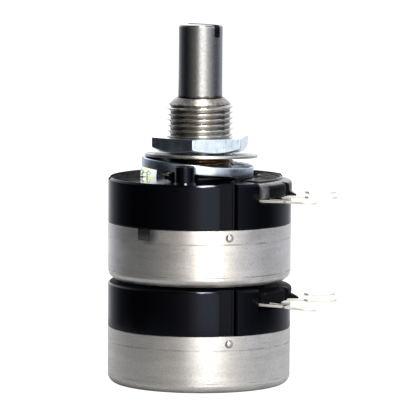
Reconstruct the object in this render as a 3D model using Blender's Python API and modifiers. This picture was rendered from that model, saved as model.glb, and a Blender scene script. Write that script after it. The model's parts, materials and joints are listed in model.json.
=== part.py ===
"""Dual-gang rotary wirewound potentiometer: two resistance sections, one behind the other,
turned by one shaft, with a threaded panel bush, a nut and two washers.

Metres, +Z up along the shaft. The origin is the centre of the rear can's flat back.
+X is the side where the terminals stand out. Heights inside a gang are counted from that
gang's own base, which is the back of its can.
"""

import math

import bmesh
import bpy
from mathutils import Matrix, Vector

MM = 0.001
GAP = 0.1 * MM  # between neighbouring pieces

# Gangs
BODY_R = 12.5 * MM
GANG_PITCH = 14.3 * MM
GANG_BASES = {"rear": 0.0, "front": GANG_PITCH}
CAN_TOP = 7.75 * MM
CAN_WALL = 0.4 * MM
CAN_CORNER_R = 1.2 * MM
CASE_TOP = 13.9 * MM
CASE_ROOF_UNDER = 11.85 * MM
CASE_CAVITY_R = 9.9 * MM
CASE_SKIRT_BOTTOM = 1.2 * MM
CASE_EDGE = 0.4 * MM
CASE_BORE_R = 4.5 * MM
HUB_R = 5.0 * MM
HUB_HEIGHT = 0.3 * MM

# Details of the cases, as angles round +Z from +X
GROOVE_ANGLE = math.radians(-71.5)
GROOVE_WIDTH = 2.65 * MM
GROOVE_DEPTH = 1.45 * MM
KEY_ANGLE = math.radians(-126.7)
KEY_WIDTH = 2.0 * MM
KEY_HEIGHT = 1.5 * MM
VENT_ANGLE = math.radians(180)
VENT_WIDTH = 1.5 * MM
VENT_HEIGHT = 1.3 * MM
PEG_XY = (-2.0 * MM, -10.5 * MM)
PEG_R = 1.33 * MM
PEG_HEIGHT = 2.4 * MM

# Terminals and their block
TERMINAL_MIDDLE = math.radians(-12.5)
# The way each lug points outside the case, and how far to the -Y side of the axis it would pass
LUG_LINES = {
    "ccw": (math.radians(-23), 4.65 * MM),
    "wiper": (math.radians(-6), 1.3 * MM),
    "cw": (math.radians(4), -2.6 * MM),
}
LUG_BOTTOM = 11.37 * MM
LUG_THICKNESS = 0.35 * MM
LUG_INNER_THICKNESS = 0.3 * MM
LUG_BEND_R = 12.6 * MM
LUG_SHOULDER = 14.55 * MM
LUG_TIP = 18.95 * MM
LUG_INNER_HALF = 0.7 * MM
LUG_NECK_HALF = 0.95 * MM
LUG_HEAD_HALF = 1.5 * MM
LUG_EYE_R = 0.6 * MM
LUG_EYE_FROM, LUG_EYE_TO = 16.4 * MM, 17.05 * MM
NOTCH_HALF = math.radians(37.5)
NOTCH_INNER_R = 8.0 * MM
NOTCH_FLOOR = 11.0 * MM
BLOCK_HALF = math.radians(36)
BLOCK_BOTTOM = 11.82 * MM
BLOCK_TOP = 13.6 * MM
BLOCK_OUTER_R = 12.4 * MM
PAD_HALF = math.radians(33)
PAD_OUTER_R = 11.3 * MM
PAD_TOP = 14.2 * MM

# Resistance element, rotor and contacts
TRAVEL = math.radians(300)
CARD_INNER_R, CARD_OUTER_R = 9.05 * MM, 9.25 * MM
CARD_BOTTOM, CARD_TOP = 3.0 * MM, 10.6 * MM
WIRE_THICKNESS = 0.2 * MM
CARD_HALF_GAP = math.radians(28)
CLIP_START, CLIP_END = math.radians(29), math.radians(34.5)
WINDING_START = math.radians(36)
COLLECTOR_INNER_R, COLLECTOR_OUTER_R = 6.0 * MM, 7.4 * MM
ROTOR_BORE_R = 2.5 * MM
ROTOR_R = 6.5 * MM
ROTOR_NECK_R = 5.0 * MM
ROTOR_BOTTOM, ROTOR_SHELF, ROTOR_TOP = 4.7 * MM, 6.5 * MM, 9.8 * MM
ARM_R = 8.3 * MM
ARM_HALF = math.radians(15)
ARM_BOTTOM, ARM_TOP = 6.6 * MM, 7.9 * MM
STOP_INNER_R = 7.0 * MM
STOP_HALF = math.radians(13.5)
SPRING_THICKNESS = 0.2 * MM
SPRING_WIDTH = 1.5 * MM

# Shaft, bush and the bearing between the gangs
SHAFT_R = 3.0 * MM
SHAFT_TAIL_R = 2.4 * MM
SHAFT_TOP = 49.0 * MM
SHAFT_BOTTOM = 4.0 * MM
SHAFT_CHAMFER = 0.4 * MM
SLOT_WIDTH = 1.05 * MM
SLOT_DEPTH = 1.7 * MM
SLOT_ANGLE = math.radians(-41)
RING_GROOVE_R = 2.6 * MM
RING_INNER_R, RING_OUTER_R = 2.7 * MM, 4.1 * MM
RING_THICKNESS = 0.35 * MM
RING_BOTTOM = 24.75 * MM
THREAD_R = 4.5 * MM
THREAD_DEPTH = 0.44 * MM
THREAD_PITCH = 0.75 * MM
BUSH_TOP = 39.0 * MM
BUSH_BORE_R = 3.08 * MM
BUSH_FACE_R = 3.35 * MM
BUSH_STEM_R = 4.4 * MM
BUSH_FLANGE_R = 5.4 * MM
BUSH_FLANGE = 0.85 * MM
THREAD_TOP = 37.9 * MM
THREAD_CRESTS = 12

# Nut and washers
NUT_BOTTOM, NUT_TOP = 31.85 * MM, 33.75 * MM
NUT_ACROSS_FLATS = 12.2 * MM
NUT_BORE_R = 4.62 * MM
NUT_VERTEX_ANGLE = math.radians(-98.4)
NUT_CHAMFER_R = 6.0 * MM
WASHER_R = 7.65 * MM
FLAT_WASHER_BORE_R = 4.65 * MM
FLAT_WASHER_THICKNESS = 0.4 * MM
FLAT_WASHER_CENTRE = (0.12 * MM, 0.0, 31.25 * MM)
FLAT_WASHER_TILT = (math.radians(-2.8), math.radians(1.0))
LOCATING_WASHER_BORE_R = 5.0 * MM
LOCATING_WASHER_THICKNESS = 1.27 * MM
LOCATING_WASHER_CENTRE = (-0.3 * MM, 0.0, 29.62 * MM)
LOCATING_WASHER_TILT = (math.radians(-2.3), math.radians(4.0))
TAB_SIZE = (1.9 * MM, 2.1 * MM, 1.1 * MM)

ROUND_STEPS = 48
SMALL_ROUND_STEPS = 24

MATERIALS = {
    # name: (colour, roughness, metallic)
    "black_phenolic": ((0.012, 0.012, 0.013), 0.16, 0.0),
    "block_phenolic": ((0.05, 0.05, 0.05), 0.7, 0.0),
    "nickel_can": ((0.62, 0.60, 0.57), 0.32, 1.0),
    "nickel_bush": ((0.55, 0.52, 0.46), 0.25, 1.0),
    "steel_shaft": ((0.60, 0.60, 0.60), 0.28, 1.0),
    "zinc_plate": ((0.66, 0.70, 0.76), 0.30, 1.0),
    "tinned_brass": ((0.80, 0.78, 0.70), 0.25, 1.0),
    "brass": ((0.72, 0.55, 0.25), 0.30, 1.0),
    "fibre": ((0.10, 0.08, 0.07), 0.8, 0.0),
    "card": ((0.25, 0.16, 0.09), 0.6, 0.0),
    "resistance_wire": ((0.45, 0.40, 0.34), 0.35, 1.0),
    "spring_bronze": ((0.70, 0.42, 0.22), 0.3, 1.0),
    "rotor_phenolic": ((0.05, 0.03, 0.02), 0.45, 0.0),
}


# ---- Tools


def clear_scene():
    for obj in list(bpy.data.objects):
        bpy.data.objects.remove(obj)


def collection(name):
    made = bpy.data.collections.new(name)
    bpy.context.scene.collection.children.link(made)
    return made


def make_material(name):
    colour, roughness, metallic = MATERIALS[name]
    material = bpy.data.materials.new(name)
    material.use_nodes = True
    shader = material.node_tree.nodes["Principled BSDF"]
    shader.inputs["Base Color"].default_value = (*colour, 1.0)
    shader.inputs["Roughness"].default_value = roughness
    shader.inputs["Metallic"].default_value = metallic
    return material


def add_object(name, mesh, material=None, parent=None):
    """A part where a material is given, else a cutter."""
    obj = bpy.data.objects.new(name, mesh)
    if material is None:
        CUTTERS.objects.link(obj)
        obj.hide_render = True
        obj.display_type = "WIRE"
        return obj
    PARTS.objects.link(obj)
    mesh.materials.append(FINISHES[material])
    obj.parent = parent
    return obj


def joint_axis(name):
    empty = bpy.data.objects.new(name, None)
    PARTS.objects.link(empty)
    return empty


def turned(name, profile, steps, material=None, parent=None, closed=True):
    """Turns a profile of (radius, height) points about Z. A profile that isn't closed ends on the axis."""
    mesh = bpy.data.meshes.new(name)
    edges = [(i, i + 1) for i in range(len(profile) - 1)]
    if closed:
        edges.append((len(profile) - 1, 0))
    mesh.from_pydata([(radius, 0.0, height) for radius, height in profile], edges, [])
    obj = add_object(name, mesh, material, parent)
    screw = obj.modifiers.new("Turn", "SCREW")
    screw.steps = screw.render_steps = steps
    screw.use_merge_vertices = True
    screw.merge_threshold = 0.01 * MM
    screw.use_smooth_shade = True
    return obj


def box(name, size, centre, angle=0.0):
    """A block with its centre at (radius, side, height), swung round Z by angle."""
    mesh = bpy.data.meshes.new(name)
    shape = bmesh.new()
    bmesh.ops.create_cube(shape, size=1.0)
    bmesh.ops.scale(shape, vec=size, verts=shape.verts)
    bmesh.ops.translate(shape, vec=centre, verts=shape.verts)
    bmesh.ops.rotate(shape, matrix=Matrix.Rotation(angle, 3, "Z"), verts=shape.verts)
    shape.to_mesh(mesh)
    shape.free()
    return add_object(name, mesh)


def cylinder_cutter(name, radius, centre, height, sides):
    mesh = bpy.data.meshes.new(name)
    shape = bmesh.new()
    bmesh.ops.create_cone(
        shape, cap_ends=True, segments=sides, radius1=radius, radius2=radius, depth=height
    )
    bmesh.ops.translate(shape, vec=centre, verts=shape.verts)
    shape.to_mesh(mesh)
    shape.free()
    return add_object(name, mesh)


def arc(radius, start, end, steps, centre=(0.0, 0.0)):
    return [
        (
            centre[0] + radius * math.cos(start + (end - start) * i / steps),
            centre[1] + radius * math.sin(start + (end - start) * i / steps),
        )
        for i in range(steps + 1)
    ]


def sector(inner_r, outer_r, start, end):
    """The outline of a piece of a ring."""
    steps = max(2, round(abs(end - start) / math.tau * ROUND_STEPS))
    return arc(outer_r, start, end, steps) + arc(inner_r, end, start, steps)


def flat_piece(name, outlines, bottom, top, material=None, parent=None):
    """A sheet or block with a flat outline, from a filled 2D curve; a second outline is a hole."""
    curve = bpy.data.curves.new(name, "CURVE")
    curve.dimensions = "2D"
    curve.fill_mode = "BOTH"
    curve.extrude = (top - bottom) / 2
    for outline in outlines:
        spline = curve.splines.new("POLY")
        spline.points.add(len(outline) - 1)
        spline.use_cyclic_u = True
        for point, (x, y) in zip(spline.points, outline):
            point.co = (x, y, 0.0, 1.0)
    guide = bpy.data.objects.new(name + "_curve", curve)
    PARTS.objects.link(guide)
    guide.location.z = (top + bottom) / 2
    bpy.context.view_layer.update()
    evaluated = guide.evaluated_get(bpy.context.evaluated_depsgraph_get())
    mesh = bpy.data.meshes.new_from_object(evaluated)
    place = guide.matrix_world.copy()
    bpy.data.objects.remove(guide)
    shape = bmesh.new()
    shape.from_mesh(mesh)
    bmesh.ops.remove_doubles(shape, verts=shape.verts, dist=0.001 * MM)
    bmesh.ops.recalc_face_normals(shape, faces=shape.faces)
    shape.to_mesh(mesh)
    shape.free()
    mesh.name = name
    mesh.materials.clear()
    obj = add_object(name, mesh, material, parent)
    obj.matrix_world = place
    return obj


def boolean(obj, other, operation):
    modifier = obj.modifiers.new(f"{operation.title()} {other.name}", "BOOLEAN")
    modifier.operation = operation
    modifier.solver = "EXACT"
    modifier.object = other


def cut(obj, *cutters):
    for cutter in cutters:
        boolean(obj, cutter, "DIFFERENCE")


def join(obj, *additions):
    for addition in additions:
        boolean(obj, addition, "UNION")


def raised(profile, base):
    return [(radius, base + height) for radius, height in profile]


# ---- Cans


def make_can(gang, base):
    """A drawn cup, open to the front. The front one has a hole for the bearing."""
    corner = CAN_CORNER_R
    inner_r = BODY_R - CAN_WALL
    inner_corner = corner - CAN_WALL
    inside = arc(
        inner_corner, -math.pi / 2, 0, 3, (inner_r - inner_corner, CAN_WALL + inner_corner)
    )
    outside = arc(corner, 0, -math.pi / 2, 4, (BODY_R - corner, corner))
    wall = inside + [(inner_r, CAN_TOP), (BODY_R, CAN_TOP)] + outside
    if gang == "rear":
        profile, closed = [(0.0, CAN_WALL)] + wall + [(0.0, 0.0)], False
    else:
        hole_r = BUSH_STEM_R + GAP
        profile, closed = [(hole_r, CAN_WALL)] + wall + [(hole_r, 0.0)], True
    can = turned(
        f"{gang}_can", raised(profile, base), ROUND_STEPS, "nickel_can", closed=closed
    )
    if gang == "front":
        size = (2 * MM, KEY_WIDTH, 2 * KEY_HEIGHT)
        cut(can, box("key_notch_cutter", size, (BODY_R, 0.0, base + CAN_TOP), KEY_ANGLE))


# ---- Moulded cases


def case_profile(gang):
    under_flange = CAN_TOP + GAP
    skirt_r = BODY_R - CAN_WALL - 1.5 * GAP
    hub = HUB_HEIGHT if gang == "front" else 0.0
    top = [(CASE_BORE_R, CASE_TOP + hub)]
    if hub:
        top += [(HUB_R, CASE_TOP + hub), (HUB_R, CASE_TOP)]
    return top + [
        (BODY_R - CASE_EDGE, CASE_TOP),
        (BODY_R, CASE_TOP - CASE_EDGE),
        (BODY_R, under_flange),
        (skirt_r, under_flange),
        (skirt_r, CASE_SKIRT_BOTTOM),
        (CASE_CAVITY_R, CASE_SKIRT_BOTTOM),
        (CASE_CAVITY_R, CASE_ROOF_UNDER),
        (CASE_BORE_R, CASE_ROOF_UNDER),
    ]


def make_case(gang, base):
    """The moulding that holds the element: a deep cup whose skirt goes down inside the can."""
    profile = raised(case_profile(gang), base)
    case = turned(f"{gang}_case", profile, ROUND_STEPS, "black_phenolic")

    start, end = TERMINAL_MIDDLE - NOTCH_HALF, TERMINAL_MIDDLE + NOTCH_HALF
    notch = sector(NOTCH_INNER_R, BODY_R + MM, start, end)
    cut(case, flat_piece(
        f"{gang}_notch_cutter", [notch], base + NOTCH_FLOOR, base + CASE_TOP + MM
    ))

    groove_low, groove_high = base + CAN_TOP - GAP, base + CASE_TOP + MM
    cut(case, box(
        f"{gang}_groove_cutter",
        (2 * GROOVE_DEPTH, GROOVE_WIDTH, groove_high - groove_low),
        (BODY_R, 0.0, (groove_high + groove_low) / 2),
        GROOVE_ANGLE,
    ))

    start, end = TERMINAL_MIDDLE - STOP_HALF, TERMINAL_MIDDLE + STOP_HALF
    stop = sector(STOP_INNER_R, CASE_CAVITY_R + MM, start, end)
    join(case, flat_piece(
        f"{gang}_stop_rib", [stop], base + ARM_BOTTOM - 2 * GAP, base + ARM_TOP + 2 * GAP
    ))

    if gang == "front":
        add_front_case_details(case, base)
    else:
        size = (1.0 * MM, VENT_WIDTH, 2 * VENT_HEIGHT)
        cut(case, box("vent_cutter", size, (BODY_R, 0.0, base + CAN_TOP), VENT_ANGLE))


def add_front_case_details(case, base):
    """The key in the can's rim, and the peg that stops the body turning in the panel."""
    key_low, key_high = CAN_TOP - KEY_HEIGHT + GAP, CAN_TOP + MM
    key_inner_r, key_outer_r = BODY_R - CAN_WALL - 5 * GAP, BODY_R - GAP
    join(case, box(
        "can_key",
        (key_outer_r - key_inner_r, KEY_WIDTH - 2 * GAP, key_high - key_low),
        ((key_outer_r + key_inner_r) / 2, 0.0, base + (key_high + key_low) / 2),
        KEY_ANGLE,
    ))
    peg_bottom = CASE_TOP - MM
    peg_middle = (peg_bottom + CASE_TOP + PEG_HEIGHT) / 2
    join(case, cylinder_cutter(
        "locating_peg",
        PEG_R,
        (*PEG_XY, base + peg_middle),
        CASE_TOP + PEG_HEIGHT - peg_bottom,
        SMALL_ROUND_STEPS,
    ))


# ---- Terminals


def lug_outline(offset, inner_r):
    """A solder lug that points along +X, offset to the -Y side: a strip that runs straight out
    from the axis and bends just outside the case, two shoulders, and a head with a round tip."""
    bend = Vector((math.sqrt(LUG_BEND_R**2 - offset**2), -offset))
    inner_end = bend * (inner_r / LUG_BEND_R)
    sideways = Vector((-bend.y, bend.x)).normalized()
    inner_side = sideways * LUG_INNER_HALF
    mitre = sideways + Vector((0.0, 1.0))
    mitre *= 2 * LUG_NECK_HALF / mitre.length_squared
    widening = LUG_HEAD_HALF - LUG_NECK_HALF
    tip = arc(LUG_HEAD_HALF, -math.pi / 2, math.pi / 2, 8, (LUG_TIP - LUG_HEAD_HALF, -offset))
    return (
        [tuple(inner_end - inner_side), tuple(bend - mitre)]
        + [(LUG_SHOULDER, -offset - LUG_NECK_HALF)]
        + [(LUG_SHOULDER + widening, -offset - LUG_HEAD_HALF)]
        + tip
        + [(LUG_SHOULDER + widening, -offset + LUG_HEAD_HALF)]
        + [(LUG_SHOULDER, -offset + LUG_NECK_HALF)]
        + [tuple(bend + mitre), tuple(inner_end + inner_side)]
    )


def eye_outline(offset):
    far = arc(LUG_EYE_R, -math.pi / 2, math.pi / 2, 5, (LUG_EYE_TO, -offset))
    near = arc(LUG_EYE_R, math.pi / 2, 1.5 * math.pi, 5, (LUG_EYE_FROM, -offset))
    return far + near


def make_terminals(gang, base):
    bottom = base + LUG_BOTTOM
    inner_top = bottom + LUG_INNER_THICKNESS
    for name, (direction, offset) in LUG_LINES.items():
        inner_r = COLLECTOR_OUTER_R + 2 * GAP if name == "wiper" else CARD_INNER_R - 4 * GAP
        lug = flat_piece(
            f"{gang}_terminal_{name}",
            [lug_outline(offset, inner_r), eye_outline(offset)],
            bottom,
            bottom + LUG_THICKNESS,
            "tinned_brass",
        )
        lug.rotation_euler.z = direction
        cut(lug, cylinder_cutter(
            f"{gang}_{name}_inner_cutter", LUG_BEND_R, (0.0, 0.0, inner_top + MM / 2), MM,
            ROUND_STEPS,
        ))


def make_terminal_block(gang, base):
    """The insulating block that fills the case's notch and clamps the three lugs on its floor."""
    start, end = TERMINAL_MIDDLE - BLOCK_HALF, TERMINAL_MIDDLE + BLOCK_HALF
    inner_r = NOTCH_INNER_R + GAP
    block = flat_piece(
        f"{gang}_terminal_block",
        [sector(inner_r, BLOCK_OUTER_R, start, end)],
        base + BLOCK_BOTTOM,
        base + BLOCK_TOP,
        "block_phenolic",
    )
    if gang == "front":
        pad = sector(inner_r, PAD_OUTER_R, TERMINAL_MIDDLE - PAD_HALF, TERMINAL_MIDDLE + PAD_HALF)
        join(block, flat_piece("block_pad", [pad], base + BLOCK_TOP - MM, base + PAD_TOP))


# ---- Resistance element


def sleeve_on_card(name, base, start, end, material):
    """What is wrapped round the card between two angles, open where the card runs out of it."""
    inner_r, outer_r = CARD_INNER_R - WIRE_THICKNESS, CARD_OUTER_R + WIRE_THICKNESS
    low, high = base + CARD_BOTTOM - WIRE_THICKNESS, base + CARD_TOP + WIRE_THICKNESS
    clearance = GAP / 2
    beyond = math.radians(1)
    outer = sector(inner_r, outer_r, TERMINAL_MIDDLE + start, TERMINAL_MIDDLE + end)
    inner = sector(
        CARD_INNER_R - clearance,
        CARD_OUTER_R + clearance,
        TERMINAL_MIDDLE + start - beyond,
        TERMINAL_MIDDLE + end + beyond,
    )
    sleeve = flat_piece(name, [outer], low, high, material)
    cut(sleeve, flat_piece(
        name + "_cutter",
        [inner],
        base + CARD_BOTTOM - clearance,
        base + CARD_TOP + clearance,
    ))


def make_element(gang, base):
    start, end = CARD_HALF_GAP, math.tau - CARD_HALF_GAP
    card = sector(CARD_INNER_R, CARD_OUTER_R, TERMINAL_MIDDLE + start, TERMINAL_MIDDLE + end)
    flat_piece(f"{gang}_winding_card", [card], base + CARD_BOTTOM, base + CARD_TOP, "card")
    sleeve_on_card(
        f"{gang}_winding", base, WINDING_START, math.tau - WINDING_START, "resistance_wire"
    )
    sleeve_on_card(f"{gang}_end_clip_cw", base, CLIP_START, CLIP_END, "brass")
    sleeve_on_card(
        f"{gang}_end_clip_ccw", base, math.tau - CLIP_END, math.tau - CLIP_START, "brass"
    )
    bottom, top = base + LUG_BOTTOM, base + LUG_BOTTOM + LUG_THICKNESS
    ring = [
        (COLLECTOR_INNER_R, top),
        (COLLECTOR_OUTER_R, top),
        (COLLECTOR_OUTER_R, bottom),
        (COLLECTOR_INNER_R, bottom),
    ]
    turned(f"{gang}_collector_ring", ring, SMALL_ROUND_STEPS, "brass")


# ---- What turns with the shaft


def make_rotor(gang, base, axis):
    """The insulating hub on the shaft, with the arm that meets the case's stop at each end."""
    profile = [
        (ROTOR_BORE_R, ROTOR_TOP),
        (ROTOR_R, ROTOR_TOP),
        (ROTOR_R, ROTOR_SHELF),
        (ROTOR_NECK_R, ROTOR_SHELF),
        (ROTOR_NECK_R, ROTOR_BOTTOM),
        (ROTOR_BORE_R, ROTOR_BOTTOM),
    ]
    rotor = turned(
        f"{gang}_rotor", raised(profile, base), SMALL_ROUND_STEPS, "rotor_phenolic", axis
    )
    middle = TERMINAL_MIDDLE + math.pi
    arm = sector(ROTOR_NECK_R, ARM_R, middle - ARM_HALF, middle + ARM_HALF)
    join(rotor, flat_piece(f"{gang}_rotor_arm", [arm], base + ARM_BOTTOM, base + ARM_TOP))


def spring_strip(name, path, width, angle, base, axis):
    """A bent strip of spring metal that follows (radius, height) points."""
    mesh = bpy.data.meshes.new(name)
    shape = bmesh.new()
    rows = [
        [shape.verts.new((radius, side * width / 2, height)) for side in (-1, 1)]
        for radius, height in raised(path, base)
    ]
    for (near_a, near_b), (far_a, far_b) in zip(rows, rows[1:]):
        shape.faces.new((near_a, far_a, far_b, near_b))
    shape.to_mesh(mesh)
    shape.free()
    strip = add_object(name, mesh, "spring_bronze", axis)
    strip.rotation_euler.z = angle
    solidify = strip.modifiers.new("Thickness", "SOLIDIFY")
    solidify.thickness = SPRING_THICKNESS
    solidify.offset = 0.0


def make_contacts(gang, base, axis):
    """One spring wipes along the winding; the other rubs on the collector ring."""
    seat = ROTOR_TOP + GAP + SPRING_THICKNESS / 2
    reach = CARD_INNER_R - WIRE_THICKNESS - 2.5 * GAP
    wiper = [
        (RING_OUTER_R + 0.5 * MM, seat),
        (ROTOR_R, seat),
        (reach - 0.8 * MM, seat),
        (reach - 0.15 * MM, seat - 0.4 * MM),
        (reach, seat - 1.1 * MM),
        (reach - 0.15 * MM, seat - 1.7 * MM),
    ]
    brush = [
        (RING_OUTER_R + 0.5 * MM, seat),
        (ROTOR_R - 0.6 * MM, seat),
        (ROTOR_R, seat + 0.6 * MM),
        (ROTOR_R + 0.25 * MM, LUG_BOTTOM - 2.2 * GAP),
        (ROTOR_R + 0.6 * MM, LUG_BOTTOM - 4.5 * GAP),
    ]
    middle = TERMINAL_MIDDLE + math.pi
    spring_strip(f"{gang}_wiper", wiper, SPRING_WIDTH, middle, base, axis)
    spring_strip(f"{gang}_collector_brush", brush, SPRING_WIDTH, middle + math.pi, base, axis)


def make_shaft(axis):
    ring_groove_low = RING_BOTTOM - GAP / 2
    ring_groove_high = RING_BOTTOM + RING_THICKNESS + GAP / 2
    step = GANG_PITCH + ROTOR_TOP + GAP
    profile = [
        (0.0, SHAFT_TOP),
        (SHAFT_R - SHAFT_CHAMFER, SHAFT_TOP),
        (SHAFT_R, SHAFT_TOP - SHAFT_CHAMFER),
        (SHAFT_R, ring_groove_high),
        (RING_GROOVE_R, ring_groove_high),
        (RING_GROOVE_R, ring_groove_low),
        (SHAFT_R, ring_groove_low),
        (SHAFT_R, step),
        (SHAFT_TAIL_R, step),
        (SHAFT_TAIL_R, SHAFT_BOTTOM),
        (0.0, SHAFT_BOTTOM),
    ]
    shaft = turned("shaft", profile, ROUND_STEPS, "steel_shaft", axis, closed=False)
    size = (4 * SHAFT_R, SLOT_WIDTH, 2 * SLOT_DEPTH)
    cut(shaft, box("slot_cutter", size, (0.0, 0.0, SHAFT_TOP), SLOT_ANGLE))

    opening = math.radians(40)
    ring = sector(RING_INNER_R, RING_OUTER_R, opening, math.tau - opening)
    flat_piece(
        "retaining_ring", [ring], RING_BOTTOM, RING_BOTTOM + RING_THICKNESS, "zinc_plate", axis
    )


# ---- Bush and the bearing between the gangs


def make_bushing():
    """The threaded bush. The thread is cut as rings of the true pitch and depth."""
    root_r = THREAD_R - THREAD_DEPTH
    profile = [(BUSH_BORE_R, BUSH_TOP), (BUSH_FACE_R, BUSH_TOP)]
    for crest in range(THREAD_CRESTS):
        height = THREAD_TOP - crest * THREAD_PITCH
        profile += [(THREAD_R, height), (root_r, height - THREAD_PITCH / 2)]
    flange_top = GANG_PITCH + CASE_ROOF_UNDER - GAP
    profile += [
        (BUSH_STEM_R, profile[-1][1] - THREAD_PITCH / 2),
        (BUSH_STEM_R, flange_top),
        (BUSH_FLANGE_R, flange_top),
        (BUSH_FLANGE_R, flange_top - BUSH_FLANGE),
        (BUSH_BORE_R, flange_top - BUSH_FLANGE),
    ]
    turned("bushing", profile, SMALL_ROUND_STEPS, "nickel_bush")


def make_gang_bearing():
    """The flanged tube that ties the rear case to the front can and carries the shaft's tail."""
    bore_r = SHAFT_TAIL_R + GAP
    washer_top = GANG_PITCH + CAN_WALL + 6 * GAP
    washer_bottom = GANG_PITCH + CAN_WALL + GAP
    flange_top = CASE_ROOF_UNDER - GAP
    profile = [
        (bore_r, washer_top),
        (BUSH_FLANGE_R + 0.6 * MM, washer_top),
        (BUSH_FLANGE_R + 0.6 * MM, washer_bottom),
        (BUSH_STEM_R, washer_bottom),
        (BUSH_STEM_R, flange_top),
        (BUSH_FLANGE_R, flange_top),
        (BUSH_FLANGE_R, flange_top - BUSH_FLANGE),
        (bore_r, flange_top - BUSH_FLANGE),
    ]
    turned("gang_bearing", profile, SMALL_ROUND_STEPS, "brass")

    disc_low, disc_high = CASE_TOP + GAP, GANG_PITCH - GAP
    disc_inner_r, disc_outer_r = BUSH_STEM_R + 2 * GAP, NOTCH_INNER_R - 3 * GAP
    disc = [
        (disc_inner_r, disc_high),
        (disc_outer_r, disc_high),
        (disc_outer_r, disc_low),
        (disc_inner_r, disc_low),
    ]
    turned("gang_insulator", disc, SMALL_ROUND_STEPS, "fibre")


# ---- Nut and washers


def make_nut(axis):
    """A hexagon nut whose corners are chamfered on the side that meets the washer."""
    height = NUT_TOP - NUT_BOTTOM
    corner_r = NUT_ACROSS_FLATS / 2 / math.cos(math.pi / 6)
    rise = (corner_r - NUT_CHAMFER_R) * math.tan(math.radians(30))
    outline = arc(corner_r, 0.0, math.tau * 5 / 6, 5)
    nut = flat_piece("mounting_nut", [outline], NUT_BOTTOM, NUT_TOP, "zinc_plate", axis)
    nut.rotation_euler.z = NUT_VERTEX_ANGLE
    blank_r = corner_r + MM
    blank = [
        (0.0, NUT_TOP + MM),
        (blank_r, NUT_TOP + MM),
        (blank_r, NUT_BOTTOM + rise * (blank_r - NUT_CHAMFER_R) / (corner_r - NUT_CHAMFER_R)),
        (NUT_CHAMFER_R, NUT_BOTTOM),
        (NUT_CHAMFER_R, NUT_BOTTOM - MM),
        (0.0, NUT_BOTTOM - MM),
    ]
    boolean(nut, turned("nut_chamfer_blank", blank, ROUND_STEPS, closed=False), "INTERSECT")
    middle = (0.0, 0.0, (NUT_TOP + NUT_BOTTOM) / 2)
    cut(nut, cylinder_cutter("nut_bore", NUT_BORE_R, middle, 2 * height, SMALL_ROUND_STEPS))


def washer_profile(bore_r, thickness):
    return [
        (bore_r, thickness / 2),
        (WASHER_R, thickness / 2),
        (WASHER_R, -thickness / 2),
        (bore_r, -thickness / 2),
    ]


def set_loosely(obj, centre, tilt):
    """A loose washer's place: its centre, and its tilt about X and about Y."""
    obj.location = centre
    obj.rotation_euler = (tilt[0], tilt[1], 0.0)


def make_flat_washer(axis):
    profile = washer_profile(FLAT_WASHER_BORE_R, FLAT_WASHER_THICKNESS)
    washer = turned("flat_washer", profile, ROUND_STEPS, "zinc_plate", axis)
    set_loosely(washer, FLAT_WASHER_CENTRE, FLAT_WASHER_TILT)


def make_locating_washer():
    """The thick washer, with the tab bent down from its rim."""
    profile = washer_profile(LOCATING_WASHER_BORE_R, LOCATING_WASHER_THICKNESS)
    washer = turned("locating_washer", profile, ROUND_STEPS, "zinc_plate")
    set_loosely(washer, LOCATING_WASHER_CENTRE, LOCATING_WASHER_TILT)
    hidden = LOCATING_WASHER_THICKNESS / 2
    size = (TAB_SIZE[0], TAB_SIZE[1], TAB_SIZE[2] + hidden)
    centre = (TAB_SIZE[0] / 2 - WASHER_R, 0.0, -size[2] / 2)
    tab = box("washer_tab", size, centre)
    set_loosely(tab, LOCATING_WASHER_CENTRE, LOCATING_WASHER_TILT)
    join(washer, tab)


def shade_round(obj):
    obj.data.shade_smooth()
    obj.data.set_sharp_from_angle(angle=math.radians(30))


def main():
    shaft_axis = joint_axis("shaft_axis")
    nut_axis = joint_axis("nut_axis")
    for gang, base in GANG_BASES.items():
        make_can(gang, base)
        make_case(gang, base)
        make_terminals(gang, base)
        make_terminal_block(gang, base)
        make_element(gang, base)
        make_rotor(gang, base, shaft_axis)
        make_contacts(gang, base, shaft_axis)
    make_shaft(shaft_axis)
    make_bushing()
    make_gang_bearing()
    make_nut(nut_axis)
    make_flat_washer(nut_axis)
    make_locating_washer()
    for obj in PARTS.objects:
        if obj.type == "MESH":
            shade_round(obj)


clear_scene()
PARTS = collection("dual_gang_potentiometer")
CUTTERS = collection("cutters")
FINISHES = {name: make_material(name) for name in MATERIALS}
main()
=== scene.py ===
"""Looks for the dual-gang rotary potentiometer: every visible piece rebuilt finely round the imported
CAD frame, with procedural materials, studio light and the camera. Metres, +Z up the shaft.
"""

import json
import math

import bmesh
import bpy
from mathutils import Matrix, Vector, noise


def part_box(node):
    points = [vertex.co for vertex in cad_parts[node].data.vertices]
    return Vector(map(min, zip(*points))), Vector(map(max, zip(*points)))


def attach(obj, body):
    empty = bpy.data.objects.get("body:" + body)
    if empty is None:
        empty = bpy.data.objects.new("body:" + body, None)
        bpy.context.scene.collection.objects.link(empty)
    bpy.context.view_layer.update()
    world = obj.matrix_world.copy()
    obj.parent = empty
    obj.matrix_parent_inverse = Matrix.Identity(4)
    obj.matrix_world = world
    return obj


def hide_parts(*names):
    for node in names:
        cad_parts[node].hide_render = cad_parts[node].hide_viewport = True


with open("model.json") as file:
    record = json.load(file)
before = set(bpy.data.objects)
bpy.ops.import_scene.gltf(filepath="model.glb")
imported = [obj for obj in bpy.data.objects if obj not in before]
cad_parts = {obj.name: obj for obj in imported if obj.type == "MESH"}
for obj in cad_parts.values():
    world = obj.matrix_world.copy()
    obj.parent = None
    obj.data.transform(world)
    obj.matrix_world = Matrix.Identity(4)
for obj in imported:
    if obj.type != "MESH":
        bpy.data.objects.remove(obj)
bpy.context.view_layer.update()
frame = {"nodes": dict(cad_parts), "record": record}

MM = 0.001
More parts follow.
